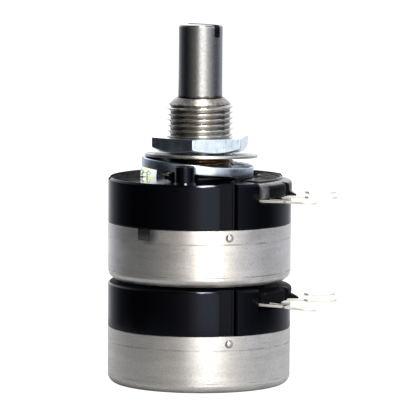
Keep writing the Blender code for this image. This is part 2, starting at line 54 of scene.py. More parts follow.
WELD, SLIVER = 0.0005 * MM, 0.0001 * MM

# ---- Places read from the frame
REAR_CAN_LOW, REAR_CAN_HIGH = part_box("rear_can")
FRONT_CAN_LOW, FRONT_CAN_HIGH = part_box("front_can")
PEG_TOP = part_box("front_case")[1].z
BLOCK_LOW, BLOCK_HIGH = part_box("front_terminal_block")
LUG_LOW, LUG_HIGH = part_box("front_terminal_wiper")
SHAFT_LOW, SHAFT_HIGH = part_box("shaft")
BUSH_LOW, BUSH_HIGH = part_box("bushing")
NUT_LOW, NUT_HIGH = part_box("mounting_nut")

BODY_R = REAR_CAN_HIGH.x
REAR_BASE, FRONT_BASE = REAR_CAN_LOW.z, FRONT_CAN_LOW.z
GANG_BASES = {"rear": REAR_BASE, "front": FRONT_BASE}
CAN_HEIGHT = REAR_CAN_HIGH.z - REAR_BASE
CASE_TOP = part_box("rear_case")[1].z - REAR_BASE
SHAFT_R = SHAFT_HIGH.x
LUG_BOTTOM, LUG_TOP = LUG_LOW.z - FRONT_BASE, LUG_HIGH.z - FRONT_BASE
BLOCK_BOTTOM = BLOCK_LOW.z - FRONT_BASE

# ---- Sizes that the frame doesn't give, or gives only roughly
CAN_WALL, CAN_CORNER_R = 0.4 * MM, 1.25 * MM
CAN_EDGE, CAN_BAND, CAN_BAND_STEP = 0.08 * MM, 1.9 * MM, 0.03 * MM
CASE_EDGE, CASE_SKIRT, CASE_GAP, SKIRT_GAP = 0.3 * MM, 4.0 * MM, 0.05 * MM, 0.15 * MM
CASE_CAVITY_R, CASE_BORE_R, CASE_ROOF = 9.9 * MM, 4.5 * MM, 2.05 * MM
HUB_R, HUB_HEIGHT = 5.0 * MM, 0.3 * MM
GROOVE_ANGLE = math.radians(-71.5)
GROOVE_WIDTH, GROOVE_DEPTH = 2.65 * MM, 1.45 * MM
KEY_ANGLE = math.radians(-126.7)
KEY_WIDTH, KEY_HEIGHT = 2.0 * MM, 1.5 * MM
VENT_ANGLE = math.pi
VENT_WIDTH, VENT_HEIGHT = 1.5 * MM, 1.3 * MM
PEG_XY = (-2.0 * MM, -10.5 * MM)
PEG_R, PEG_FOOT = 1.33 * MM, 0.2 * MM
STAKE_ANGLE = math.radians(-71.1)
STAKE_R, STAKE_HEIGHT, STAKE_DROP = 0.5 * MM, 0.3 * MM, 1.0 * MM

TERMINAL_MIDDLE = math.radians(-12.5)
LUG_LINES = {
    "ccw": (math.radians(-23), 4.65 * MM),
    "wiper": (math.radians(-6), 1.3 * MM),
    "cw": (math.radians(4), -2.6 * MM),
}
NOTCH_HALF = math.radians(37.5)
NOTCH_INNER_R = 8.0 * MM
NOTCH_DROP = 2.9 * MM
BLOCK_HALF = math.radians(36)
PAD_HALF = math.radians(33)
BLOCK_INNER_R, BLOCK_OUTER_R, PAD_OUTER_R = 8.1 * MM, 12.6 * MM, 11.3 * MM
BLOCK_TOP = {"front": 13.7 * MM, "rear": 13.6 * MM}
BLOCK_SLOPE, BLOCK_CORNER, BLOCK_FLASH = 0.25 * MM, 0.5 * MM, 0.2 * MM
PAD_SINK = 0.15 * MM
LUMP_CELL, LUMPS = 0.13 * MM, ((500.0, 0.035 * MM), (1500.0, 0.006 * MM))
TONGUE_HALF, TONGUE_HEIGHT, TONGUE_FALL = 0.85 * MM, 0.9 * MM, 0.85 * MM
TONGUE_ROOT, TONGUE_WAIST = 12.0 * MM, 12.9 * MM
TONGUE_END = {"front": 13.5 * MM, "rear": 13.9 * MM}
# The groove between the near and the middle lug
BLOCK_VEE = {"angle": math.radians(-19.5), "depth": 0.9 * MM, "half": 0.75 * MM}
LUG_THICKNESS, LUG_EDGE = 0.35 * MM, 0.13 * MM
LUG_TIP, LUG_SHOULDER = 18.95 * MM, 14.55 * MM
LUG_INNER_HALF, LUG_NECK_HALF, LUG_HEAD_HALF = 0.7 * MM, 0.95 * MM, 1.5 * MM
LUG_EYE_R, LUG_EYE_FROM, LUG_EYE_TO = 0.6 * MM, 16.4 * MM, 17.05 * MM
LUG_INNER_R = {"ccw": 8.65 * MM, "wiper": 7.6 * MM, "cw": 8.65 * MM}
LUG_RISE = {"front": 0.0, "rear": 0.25 * MM}
LUG_DROOP = {("rear", "ccw"): math.radians(3.4)}
LUG_TWIST = {"ccw": math.radians(4.0)}
LUG_BEND_R = 12.6 * MM

SLOT_WIDTH, SLOT_DEPTH, SLOT_ANGLE = 1.05 * MM, 1.7 * MM, math.radians(-41)
SHAFT_TAIL_R, SHAFT_STEP = 2.4 * MM, 24.2 * MM
THREAD_R, THREAD_DEPTH, THREAD_PITCH = 4.5 * MM, 0.44 * MM, 0.75 * MM
THREAD_BOTTOM = 28.6 * MM
# Shares of half a pitch, from the middle of the root
THREAD_ROOT, THREAD_FLANK = 0.08, 0.80
BUSH_BORE_R, BUSH_FACE_R, BUSH_CHAMFER = 3.08 * MM, 3.35 * MM, 1.05 * MM
BUSH_STEM_R, BUSH_FLANGE_R, BUSH_FLANGE = 4.4 * MM, 5.4 * MM, 0.85 * MM
NUT_ACROSS_FLATS, NUT_BORE_R, NUT_COUNTERSINK = 12.2 * MM, 4.62 * MM, 0.25 * MM
NUT_VERTEX_ANGLE = math.radians(-98.4)
NUT_CHAMFER_R = 6.0 * MM
WASHER_R, STAMPED_EDGE = 7.65 * MM, 0.06 * MM
FLAT_WASHER = {
    "bore_r": 4.65 * MM, "thickness": 0.4 * MM, "centre": (0.2 * MM, 0.0, 31.12 * MM),
    "tilt": (math.radians(-2.8), math.radians(0.5)),
}
LOCATING_WASHER = {
    "bore_r": 5.0 * MM, "thickness": 1.27 * MM, "centre": (-0.3 * MM, 0.0, 29.69 * MM),
    "tilt": (math.radians(-0.5), math.radians(4.8)),
}
TAB_SIZE = (2.15 * MM, 2.1 * MM, 1.4 * MM)

# ---- Studio light near the horizon and above it: (degrees right of the camera's side, brightness)
STUDIO_PEAK = 4.0
LEVEL_LIGHT = (
    (-180, 1.2), (-150, 0.75), (-138, 0.45), (-118, 0.14), (-90, 0.02), (-68, 0.03),
    (-48, 0.12), (-31, 0.22), (-15, 0.55), (-4, 1.7), (3, 2.7), (20, 2.7), (28, 2.0),
    (37, 1.15), (46, 0.9), (60, 0.47), (70, 0.27), (80, 0.13), (98, 0.11), (111, 0.32),
    (122, 0.50), (135, 0.64), (150, 0.70), (180, 1.2),
)
HIGH_LIGHT = (
    (-180, 2.0), (-155, 1.5), (-130, 0.60), (-112, 0.12), (-75, 0.04), (-50, 0.24), (-30, 0.36),
    (-12, 0.8), (-2, 3.8), (20, 3.8), (35, 2.1), (55, 1.3), (80, 1.1), (105, 1.2), (130, 0.9),
    (155, 1.3), (180, 2.0),
)

FINE_STEPS, SMALL_STEPS = 160, 64
# Most of a noise's values lie between these
NOISE_LOW, NOISE_HIGH = 0.3, 0.7


# ---- Mesh tools


def polar(radius, angle, height):
    return (radius * math.cos(angle), radius * math.sin(angle), height)


def spaced(start, end, steps):
    return [start + (end - start) * i / steps for i in range(steps + 1)]


def fine_steps(start, end):
    return max(3, round(abs(end - start) / math.tau * FINE_STEPS))


def arc(radius, start, end, steps, centre=(0.0, 0.0)):
    return [
        (centre[0] + radius * math.cos(angle), centre[1] + radius * math.sin(angle))
        for angle in spaced(start, end, steps)
    ]


def terminal_sector(inner_r, outer_r, half):
    """Part of a flat ring, half to each side of the terminals' middle."""
    start, end = TERMINAL_MIDDLE - half, TERMINAL_MIDDLE + half
    steps = fine_steps(start, end)
    return arc(outer_r, start, end, steps) + arc(inner_r, end, start, steps)


def rounded(corners, steps=4):
    """A closed outline of (x, y, radius) corners, with each corner turned into an arc."""
    points = []
    for i, (x, y, radius) in enumerate(corners):
        here = Vector((x, y))
        if radius == 0:
            points.append((x, y))
            continue
        before = (Vector(corners[i - 1][:2]) - here).normalized()
        after = (Vector(corners[(i + 1) % len(corners)][:2]) - here).normalized()
        half = before.angle(after) / 2
        centre = here + (before + after).normalized() * radius / math.sin(half)
        first = here + before * radius / math.tan(half) - centre
        last = here + after * radius / math.tan(half) - centre
        turn = first.angle_signed(last)
        for angle in spaced(0.0, -turn, steps):
            spoke = first.copy()
            spoke.rotate(Matrix.Rotation(angle, 2))
            points.append(tuple(centre + spoke))
    return points


def add_object(name, data):
    obj = bpy.data.objects.new(name, data)
    bpy.context.scene.collection.objects.link(obj)
    return obj


def finish_mesh(name, shape):
    bmesh.ops.remove_doubles(shape, verts=shape.verts, dist=WELD)
    bmesh.ops.recalc_face_normals(shape, faces=shape.faces)
    mesh = bpy.data.meshes.new(name)
    shape.to_mesh(mesh)
    shape.free()
    return add_object(name, mesh)


def close_slivers(shape, weld):
    bmesh.ops.remove_doubles(shape, verts=shape.verts, dist=weld)
    bmesh.ops.dissolve_degenerate(shape, edges=shape.edges, dist=SLIVER)


def copies(shape, profile, angles):
    """A (radius, height) outline's points at each angle about Z."""
    return [
        [shape.verts.new(polar(radius, angle, height)) for radius, height in profile]
        for angle in angles
    ]


def skin(shape, rows):
    """Faces from each closed row of points to the next, except along the axis."""
    for here, beyond in zip(rows, rows[1:]):
        for i in range(len(here)):
            j = (i + 1) % len(here)
            if here[i].co.xy.length or here[j].co.xy.length:
                shape.faces.new((here[i], beyond[i], beyond[j], here[j]))


def lathe(name, profile, steps=FINE_STEPS):
    """Turns a closed (radius, height) outline about Z. Points on the axis meet in one."""
    shape = bmesh.new()
    rings = copies(shape, profile, spaced(0.0, math.tau, steps)[:-1])
    skin(shape, rings + rings[:1])
    close_slivers(shape, WELD)
    return finish_mesh(name, shape)


def sweep(name, profile, start, end):
    """Part of a ring: a closed (radius, height) outline carried from one angle to another."""
    shape = bmesh.new()
    sections = copies(shape, profile, spaced(start, end, fine_steps(start, end)))
    skin(shape, sections)
    shape.faces.new(sections[0])
    shape.faces.new(sections[-1])
    return finish_mesh(name, shape)


def evaluated_mesh(obj):
    bpy.context.view_layer.update()
    evaluated = obj.evaluated_get(bpy.context.evaluated_depsgraph_get())
    return bpy.data.meshes.new_from_object(evaluated)


def prism(name, outlines, bottom, top):
    """A flat outline with thickness. Outlines after the first are holes."""
    curve = bpy.data.curves.new(name, "CURVE")
    curve.dimensions = "2D"
    curve.fill_mode = "BOTH"
    curve.extrude = (top - bottom) / 2
    for outline in outlines:
        spline = curve.splines.new("POLY")
        spline.points.add(len(outline) - 1)
        spline.use_cyclic_u = True
        for point, (x, y) in zip(spline.points, outline):
            point.co = (x, y, 0.0, 1.0)
    guide = add_object(name + "_guide", curve)
    mesh = evaluated_mesh(guide)
    bpy.data.objects.remove(guide)
    shape = bmesh.new()
    shape.from_mesh(mesh)
    bpy.data.meshes.remove(mesh)
    bmesh.ops.translate(shape, vec=(0.0, 0.0, (top + bottom) / 2), verts=shape.verts)
    bmesh.ops.remove_doubles(shape, verts=shape.verts, dist=WELD)
    bmesh.ops.dissolve_limit(
        shape, angle_limit=math.radians(0.5), verts=shape.verts, edges=shape.edges
    )
    return finish_mesh(name, shape)


def block(name, size, centre, angle=0.0):
    shape = bmesh.new()
    bmesh.ops.create_cube(shape, size=1.0)
    bmesh.ops.scale(shape, vec=size, verts=shape.verts)
    bmesh.ops.translate(shape, vec=centre, verts=shape.verts)
    bmesh.ops.rotate(shape, matrix=Matrix.Rotation(angle, 3, "Z"), verts=shape.verts)
    return finish_mesh(name, shape)


def move_mesh(obj, matrix):
    obj.data.transform(matrix)
    obj.data.update()


def modify(obj, kind, **settings):
    """Adds one modifier and applies it."""
    modifier = obj.modifiers.new(kind, kind)
    for key, value in settings.items():
        setattr(modifier, key, value)
    mesh, old = evaluated_mesh(obj), obj.data
    obj.modifiers.clear()
    obj.data = mesh
    mesh.name = obj.name
    bpy.data.meshes.remove(old)


def combine(obj, other, operation):
    """Cuts, joins or intersects obj with other, which is used up."""
    modify(obj, "BOOLEAN", operation=operation, solver="EXACT", object=other)
    bpy.data.objects.remove(other)


def soften(obj, width, segments=2, angle=32):
    """A small round on every sharp edge."""
    limit = {"limit_method": "ANGLE", "angle_limit": math.radians(angle), "use_clamp_overlap": True}
    modify(obj, "BEVEL", width=width, segments=segments, miter_outer="MITER_ARC", **limit)


def make_lumpy(obj, cell, rounds, waves):
    """Remeshes obj into small even faces, rubs the edges down, and moves the faces in and out by
    (frequency, depth) waves."""
    modify(obj, "REMESH", mode="VOXEL", voxel_size=cell)
    shape = bmesh.new()
    shape.from_mesh(obj.data)
    for _ in range(rounds):
        bmesh.ops.smooth_vert(
            shape, verts=shape.verts, factor=0.5, use_axis_x=True, use_axis_y=True, use_axis_z=True
        )
    shape.normal_update()
    moves = [
        vertex.normal * sum(depth * noise.noise(vertex.co * often) for often, depth in waves)
        for vertex in shape.verts
    ]
    for vertex, move in zip(shape.verts, moves):
        vertex.co += move
    shape.to_mesh(obj.data)
    shape.free()


def shade(obj, angle=30):
    """Closes slivers, then smooths with creases. Large faces stay flat."""
    shape = bmesh.new()
    shape.from_mesh(obj.data)
    close_slivers(shape, SLIVER)
    shape.to_mesh(obj.data)
    shape.free()
    obj.data.shade_smooth()
    obj.data.set_sharp_from_angle(angle=math.radians(angle))
    modify(obj, "WEIGHTED_NORMAL", keep_sharp=True)


def round_wall(obj):
    """Gives the upright outer wall its true normals, which the cuts in it disturb."""
    mesh = obj.data
    normals = [corner.vector.copy() for corner in mesh.corner_normals]
    wall_r, upright = 0.97 * BODY_R, 0.99
    for face in mesh.polygons:
        outward = Vector((face.center.x, face.center.y, 0.0))
        if outward.length < wall_r or face.normal.dot(outward.normalized()) < upright:
            continue
        for loop in face.loop_indices:
            corner = mesh.vertices[mesh.loops[loop].vertex_index].co
            normals[loop] = Vector((corner.x, corner.y, 0.0)).normalized()
    mesh.normals_split_custom_set(normals)


def piece(obj, body, slot, material, *nodes):
    """Gives a finished shape its material and its place in the frame."""
    obj.data.materials.clear()
    obj.data.materials.append(material)
    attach(obj, body)
    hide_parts(*nodes)


# ---- Materials


def opaque(colour):
    """A colour with its alpha. A single number is a grey."""
    return (*colour, 1.0) if isinstance(colour, tuple) else (colour, colour, colour, 1.0)


class Nodes:
    """Short calls for building a node tree."""

    def __init__(self, node_tree):
        self.nodes = node_tree.nodes
        self.links = node_tree.links

    def feed(self, socket, value):
        """Links another socket, or sets a number, vector or colour."""
        if isinstance(value, bpy.types.NodeSocket):
            self.links.new(value, socket)
        else:
            socket.default_value = opaque(value) if socket.type == "RGBA" else value

    def add(self, kind, values=None, **settings):
        node = self.nodes.new(kind)
        for key, value in settings.items():
            setattr(node, key, value)
        for key, value in (values or {}).items():
            self.feed(node.inputs[key], value)
        return node

    def ramp(self, factor, *stops):
        """A colour ramp with (position, value or colour) stops."""
        node = self.add("ShaderNodeValToRGB", {"Fac": factor})
        elements = node.color_ramp.elements
        while len(elements) < len(stops):
            elements.new(0.5)
        for element, (position, value) in zip(elements, stops):
            element.position = position
            element.color = opaque(value)
        return node.outputs["Color"]

    def span(self, factor, low, high, from_low=0.0, from_high=1.0):
        ends = {"From Min": from_low, "From Max": from_high, "To Min": low, "To Max": high}
        return self.add("ShaderNodeMapRange", {"Value": factor, **ends}).outputs["Result"]

    def mix(self, factor, first, second):
        node = self.add("ShaderNodeMix", data_type="RGBA")
        for index, value in ((0, factor), (6, first), (7, second)):
            self.feed(node.inputs[index], value)
        return node.outputs[2]

    def maths(self, operation, first, second=0.0):
        return self.add("ShaderNodeMath", {0: first, 1: second}, operation=operation).outputs[0]

    def times(self, first, second):
        return self.maths("MULTIPLY", first, second)


class Tree(Nodes):
    """A material with its own texture and shader calls."""

    SOCKETS = {
        "colour": "Base Color", "roughness": "Roughness", "metallic": "Metallic",
        "specular": "Specular IOR Level", "specular_tint": "Specular Tint",
        "anisotropic": "Anisotropic", "anisotropic_turn": "Anisotropic Rotation",
        "glow_colour": "Emission Color", "glow": "Emission Strength",
    }

    def __init__(self, name):
        self.material = bpy.data.materials.new(name)
        self.material.use_nodes = True
        super().__init__(self.material.node_tree)
        self.shader = self.nodes["Principled BSDF"]
        self.colour = None

    def place(self, scale=(1.0, 1.0, 1.0)):
        """Object coordinates, stretched."""
        where = self.add("ShaderNodeTexCoord").outputs["Object"]
        mapping = self.add("ShaderNodeMapping", {"Vector": where, "Scale": scale})
        return mapping.outputs["Vector"]

    def height(self):
        return self.add("ShaderNodeSeparateXYZ", {"Vector": self.place()}).outputs["Z"]

    def distance(self, where, point):
        ends = {0: where, 1: point}
        return self.add("ShaderNodeVectorMath", ends, operation="DISTANCE").outputs["Value"]

    def from_axis(self, foot=(0.0, 0.0, 0.0)):
        """Distance from the shaft's axis, or from another upright line."""
        return self.distance(self.place((1.0, 1.0, 0.0)), foot)

    def level(self, height, middle, inner, outer, peak=1.0):
        """peak within inner of the middle height, down to 0 at outer."""
        away = self.maths("ABSOLUTE", self.maths("SUBTRACT", height, middle))
        return self.span(away, peak, 0.0, inner, outer)

    def tones(self, factor, dark, light, low=NOISE_LOW, high=NOISE_HIGH):
        """dark up to low, light from high on."""
        return self.mix(self.span(factor, 0.0, 1.0, low, high), dark, light)

    def over(self, factor, tint):
        """Lays a tint over the colour so far."""
        self.colour = self.mix(factor, self.colour, tint)

    def vary(self, factor, low, high):
        """Follows a noise between two values."""
        return self.span(factor, low, high, NOISE_LOW, NOISE_HIGH)

    def noise(self, scale, detail=3.0, stretch=(1.0, 1.0, 1.0), rough=0.5):
        values = {"Scale": scale, "Detail": detail, "Roughness": rough}
        return self.add("ShaderNodeTexNoise", {"Vector": self.place(stretch), **values}).outputs["Fac"]

    def near(self, point, inner, outer):
        """1 within inner of a point, down to 0 at outer."""
        where = self.add("ShaderNodeTexCoord").outputs["Object"]
        return self.span(self.distance(where, point), 1.0, 0.0, inner, outer)

    def bump(self, *layers):
        """Stacks (height, distance in metres, strength) layers and links the result."""
        normal = None
        for height, distance, strength in layers:
            values = {"Height": height, "Distance": distance, "Strength": strength}
            if normal is not None:
                values["Normal"] = normal
            normal = self.add("ShaderNodeBump", values).outputs["Normal"]
        self.links.new(normal, self.shader.inputs["Normal"])

    def set(self, **values):
        for key, value in values.items():
            self.feed(self.shader.inputs[self.SOCKETS[key]], value)

    def finish(self, *bumps, **values):
        """Gives the shader its colour, its other values and its bump layers."""
        self.set(colour=self.colour, **values)
        self.bump(*bumps)
        return self.material


def key_middle(sideways):
    """The middle of the key in the front can's rim, and so far to its right."""
    return (
        BODY_R * math.cos(KEY_ANGLE) - sideways * math.sin(KEY_ANGLE),
        BODY_R * math.sin(KEY_ANGLE) + sideways * math.cos(KEY_ANGLE),
        FRONT_CAN_HIGH.z - 0.45 * KEY_HEIGHT,
    )


def stake_middle(base):
    return polar(BODY_R, STAKE_ANGLE, base + CAN_HEIGHT - STAKE_DROP)


def nickel_can():
    """Satin nickel plate on drawn steel: a fine grain round the can, small pits, smudged lines at
    the sized band and the bottom corner, and painted shade in a dark ring round each stake."""
    tree = Tree("nickel_can")
    lines = tree.noise(1.0, 4.0, (160.0, 160.0, 6000.0), 0.65)
    broad_lines = tree.noise(1.0, 2.0, (110.0, 110.0, 1200.0))
    stains = tree.noise(260.0, 5.0, (1.0, 1.0, 1.6), 0.6)
    marks = tree.ramp(stains, (0.42, 0.0), (0.62, 1.0))
    tree.colour = tree.mix(marks, (0.72, 0.70, 0.66), (0.79, 0.77, 0.74))
    broad = tree.span(broad_lines, 0.0, 0.5, 0.35, 0.7)
    tree.over(broad, (0.58, 0.565, 0.545))
    pits = tree.ramp(tree.noise(3200.0, 3.0, (1.0, 1.0, 2.2), 0.7), (0.52, 0.0), (0.74, 1.0))
    rubs = tree.ramp(tree.noise(1.0, 3.0, (350.0, 350.0, 3600.0), 0.7), (0.60, 0.0), (0.70, 1.0))
    wear = tree.maths("MAXIMUM", tree.times(pits, 0.7), tree.times(rubs, 0.35))
    tree.over(wear, (0.36, 0.35, 0.34))

    height = tree.height()
    smudge = tree.span(tree.noise(1.0, 3.0, (260.0, 260.0, 900.0)), 0.0, 0.75, 0.42, 0.62)
    for base in GANG_BASES.values():
        for middle, half in ((CAN_HEIGHT - CAN_BAND, 0.16 * MM), (1.1 * CAN_CORNER_R, 0.10 * MM)):
            line = tree.times(tree.level(height, base + middle, 0.3 * half, half), smudge)
            tree.over(line, (0.27, 0.265, 0.26))
        # Painted shade: a dark ring round each stake's bump, for the shade at its foot.
        inside = tree.near(stake_middle(base), STAKE_R, 1.3 * STAKE_R)
        cap = tree.near(stake_middle(base), 0.7 * STAKE_R, 0.95 * STAKE_R)
        ring = tree.times(tree.maths("SUBTRACT", inside, cap), 0.7)
        tree.over(tree.maths("MAXIMUM", ring, 0.0), 0.20)
    shadow = tree.near(key_middle(0.35 * KEY_WIDTH), 0.7 * MM, 1.7 * MM)
    tree.over(tree.times(shadow, 0.85), (0.16, 0.155, 0.15))
    return tree.finish(
        (lines, 0.004 * MM, 0.3), (broad_lines, 0.01 * MM, 0.25), (pits, 0.012 * MM, -0.5),
        metallic=1.0, roughness=tree.vary(stains, 0.34, 0.46), anisotropic=0.66, anisotropic_turn=0.25,
    )


def black_phenolic():
    """Glossy black moulding with a faint flow ripple and dust. The key that shows through the
    front can carries a painted reflection in grey, and the rear case's top is rubbed dull."""
    tree = Tree("black_phenolic")
    ripple = tree.noise(420.0, 2.0)
    grain = tree.noise(9000.0, 2.0)
    dust = tree.ramp(tree.noise(2600.0, 4.0, rough=0.7), (0.60, 0.0), (0.80, 1.0))
    tree.colour = tree.mix(dust, (0.0008, 0.0009, 0.0015), (0.005, 0.005, 0.006))
    height, rim = tree.height(), FRONT_CAN_HIGH.z
    # Painted reflection: the key inside the front can's notch is painted grey, darkest at the top and
    # lighter towards its foot.
    in_can = tree.span(height, 1.0, 0.0, rim - 0.1 * MM, rim + 0.05 * MM)
    key_painted_reflection = tree.times(in_can, tree.near(key_middle(0.0), 0.9 * MM, 1.8 * MM))
    foot = tree.span(height, 1.0, 0.0, rim - KEY_HEIGHT, rim - 0.4 * KEY_HEIGHT)
    grey = tree.mix(foot, (0.014, 0.014, 0.017), (0.065, 0.062, 0.060))
    tree.over(key_painted_reflection, grey)
    rubbed = tree.level(height, REAR_BASE + CASE_TOP, 0.06 * MM, 0.12 * MM, 0.6)
    rough = tree.maths("MAXIMUM", tree.vary(ripple, 0.08, 0.14), rubbed)
    rough = tree.maths("MAXIMUM", rough, tree.times(key_painted_reflection, 0.5))
    return tree.finish(
        (ripple, 0.02 * MM, 0.25), (grain, 0.002 * MM, 0.3),
        roughness=rough, specular=0.18, specular_tint=(0.72, 0.78, 1.0),
    )


def block_phenolic(name, specular, roughness, dust_and_highlight_amount):
    """Uneven black moulding with a few pale specks. In the front gang a pale band in the step
    under the pad and a pale patch on the near corner are partly dust and partly painted highlight."""
    tree = Tree(name)
    lumps = tree.noise(800.0, 2.0)
    specks = tree.ramp(tree.noise(3000.0, 2.0), (0.70, 0.0), (0.76, 1.0))
    tree.colour = tree.mix(lumps, (0.002, 0.002, 0.003), (0.007, 0.007, 0.009))
    tree.over(specks, (0.06, 0.06, 0.065))
    # Partly dust and partly painted highlight: pale along the step under the pad and on the near
    # corner, where light catches the block's edges.
    shoulder = FRONT_BASE + BLOCK_TOP["front"] - 0.4 * BLOCK_SLOPE
    beside = tree.span(tree.from_axis(), 1.0, 0.0, PAD_OUTER_R + 0.15 * MM, PAD_OUTER_R + 0.5 * MM)
    step = tree.times(tree.level(tree.height(), shoulder, 0.08 * MM, 0.22 * MM), beside)
    corner = polar(BLOCK_OUTER_R, TERMINAL_MIDDLE - 0.96 * BLOCK_HALF, 0.0)
    corner_painted_highlight = tree.span(tree.from_axis(corner), 0.3, 0.0, 0.3 * MM, 1.3 * MM)
    patches = tree.span(tree.noise(1400.0, 3.0), 0.5, 1.0, 0.35, 0.6)
    dust = tree.times(tree.maths("MAXIMUM", step, corner_painted_highlight), tree.times(patches, dust_and_highlight_amount))
    tree.over(dust, (0.42, 0.43, 0.45))
    rough = tree.maths("ADD", tree.vary(lumps, *roughness), tree.times(dust, 0.4))
    return tree.finish((lumps, 0.03 * MM, 0.3), roughness=rough, specular=specular)


def steel_shaft():
    """Fine-turned steel: a close grain round the shaft, a few handling marks, and a dark brown ring
    where it enters the bush, partly old grease and partly painted shade."""
    tree = Tree("steel_shaft")
    grain = tree.noise(1.0, 5.0, (350.0, 350.0, 14000.0), 0.7)
    speckle = tree.noise(5200.0, 3.0, (1.0, 1.0, 0.6))
    tree.colour = tree.tones(speckle, (0.30, 0.305, 0.31), 0.38, 0.35, 0.75)
    # Partly old grease and partly painted shade: a ragged dark brown ring at the shaft's foot, where
    # it enters the bush.
    ragged = tree.times(tree.noise(1700.0, 3.0), 0.7 * MM)
    grease_and_shade_ends = BUSH_HIGH.z - 0.15 * MM, BUSH_HIGH.z + 0.05 * MM
    foot = tree.span(tree.maths("SUBTRACT", tree.height(), ragged), 1.0, 0.0, *grease_and_shade_ends)
    tree.over(tree.times(foot, 0.9), (0.05, 0.035, 0.025))
    return tree.finish(
        (grain, 0.003 * MM, 0.4), (speckle, 0.003 * MM, 0.3),
        metallic=1.0, roughness=tree.vary(grain, 0.20, 0.28), anisotropic=0.5, anisotropic_turn=0.25,
    )


def nickel_bush():
    """Nickel plate on turned brass, slightly warm, darker in the thread's roots, and a rougher cone at
    the end. Below the flat washer it is worn to brass with painted shade, and under the thick washer
    it is nearly black with painted shade."""
    tree = Tree("nickel_bush")
    grain = tree.noise(3800.0, 4.0, (1.0, 1.0, 2.0))
    tree.colour = tree.tones(grain, (0.46, 0.445, 0.405), (0.58, 0.565, 0.52))
    height = tree.height()
    low, high = LOCATING_WASHER["centre"][2], FLAT_WASHER["centre"][2]
    # Worn to brass, and painted dark for the shade between the washers.
    worn_brass_and_shade = tree.span(height, 1.0, 0.0, high - 0.2 * MM, high)
    tree.over(worn_brass_and_shade, (0.24, 0.15, 0.09))
    # Painted shade: nearly black below the thick washer's middle, where the washer shades the bush.
    under_washer_painted_shade = tree.span(height, 1.0, 0.0, low - 0.3 * MM, low)
    tree.over(under_washer_painted_shade, (0.03, 0.025, 0.02))
    # Darker towards the roots of the thread.
    root_ends = THREAD_R - THREAD_DEPTH, THREAD_R - 0.4 * THREAD_DEPTH
    root = tree.span(tree.from_axis(), 0.5, 0.0, *root_ends)
    cone_ends = BUSH_HIGH.z - BUSH_CHAMFER, BUSH_HIGH.z - 0.8 * BUSH_CHAMFER
    thread = tree.span(height, 1.0, 0.0, *cone_ends)
    tree.over(tree.times(root, thread), (0.10, 0.09, 0.075))
    cone = tree.maths("SUBTRACT", 1.0, thread)
    tone = tree.span(tree.noise(2600.0, 4.0), 0.25, 0.95, 0.38, 0.60)
    tree.over(tree.times(cone, tone), (0.22, 0.20, 0.165))
    rough = tree.maths("ADD", tree.vary(grain, 0.12, 0.20), tree.times(cone, 0.2))
    return tree.finish((grain, 0.003 * MM, 0.3), metallic=1.0, roughness=rough)


def zinc_plate(name, scratch_scale, dark, light):
    """Bright blue zinc with a rolled grain and scratches. Thin passivation colours, straw and
    green, show where the thick washer's tab comes down."""
    tree = Tree(name)
    cloud = tree.noise(700.0, 4.0)
    scratches = tree.noise(1.0, 4.0, scratch_scale, 0.7)
    marks = tree.ramp(scratches, (0.56, 0.0), (0.72, 1.0))
    tree.colour = tree.tones(cloud, dark, light)
    tree.over(marks, (0.40, 0.44, 0.52))
    patches = tree.noise(620.0, 2.0)
    film = tree.ramp(
        patches, (0.50, (0.72, 0.62, 0.22)), (0.55, (0.70, 0.72, 0.50)), (0.58, (0.03, 0.13, 0.10)),
        (0.61, (0.66, 0.74, 0.62)), (0.66, (0.84, 0.82, 0.72)),
    )
    tab = (-WASHER_R, 0.0, LOCATING_WASHER["centre"][2] - TAB_SIZE[2])
    tree.over(tree.near(tab, 1.2 * MM, 2.0 * MM), film)
    return tree.finish(
        (scratches, 0.006 * MM, 0.35), (cloud, 0.01 * MM, 0.2),
        metallic=1.0, roughness=tree.vary(cloud, 0.16, 0.28),
    )


def plain_washer():
    """Dull nickel plate on the thin washer."""
    tree = Tree("washer_nickel")
    cloud = tree.noise(900.0, 4.0)
    grain = tree.noise(1.0, 3.0, (400.0, 400.0, 3000.0))
    tree.colour = tree.tones(cloud, (0.46, 0.46, 0.43), (0.60, 0.60, 0.56))
    return tree.finish(
        (grain, 0.006 * MM, 0.4), (cloud, 0.01 * MM, 0.2),
        metallic=1.0, roughness=tree.vary(grain, 0.22, 0.36),
    )


def tinned_lug():
    """Hot-tinned brass: bright flat sides, yellower where the skin is thin, and edges made partly
    diffuse and white, a painted highlight on their rounds.
    """
    tree = Tree("tinned_lug")
    pools = tree.noise(900.0, 3.0)
    skin = tree.noise(5200.0, 3.0)
    tree.colour = tree.tones(pools, (0.92, 0.91, 0.88), (0.90, 0.84, 0.70), 0.4, 0.65)
    # Painted highlight: the edges are made partly diffuse and white, so that they look lit.
    facing = tree.add("ShaderNodeNewGeometry").outputs["True Normal"]
    upward = tree.add("ShaderNodeSeparateXYZ", {"Vector": facing}).outputs["Z"]
    upward = tree.maths("ABSOLUTE", upward)
    flat = tree.span(upward, 0.0, 1.0, 0.75, 0.95)
    rough = tree.mix(flat, 0.5, tree.ramp(skin, (0.3, 0.14), (0.7, 0.24)))
    return tree.finish(
        (pools, 0.03 * MM, 0.3), (skin, 0.004 * MM, 0.3),
        metallic=tree.span(flat, 0.6, 1.0), roughness=rough,
    )


def plain_inner(name, metallic, dark, light, roughness, scale):
    """For pieces sealed inside: two tones and a fine bump."""
    tree = Tree(name)
    grain = tree.noise(scale, 3.0)
    tree.colour = tree.tones(grain, dark, light)
    rough = tree.vary(grain, *roughness)
    return tree.finish((grain, 0.01 * MM, 0.4), metallic=metallic, roughness=rough)


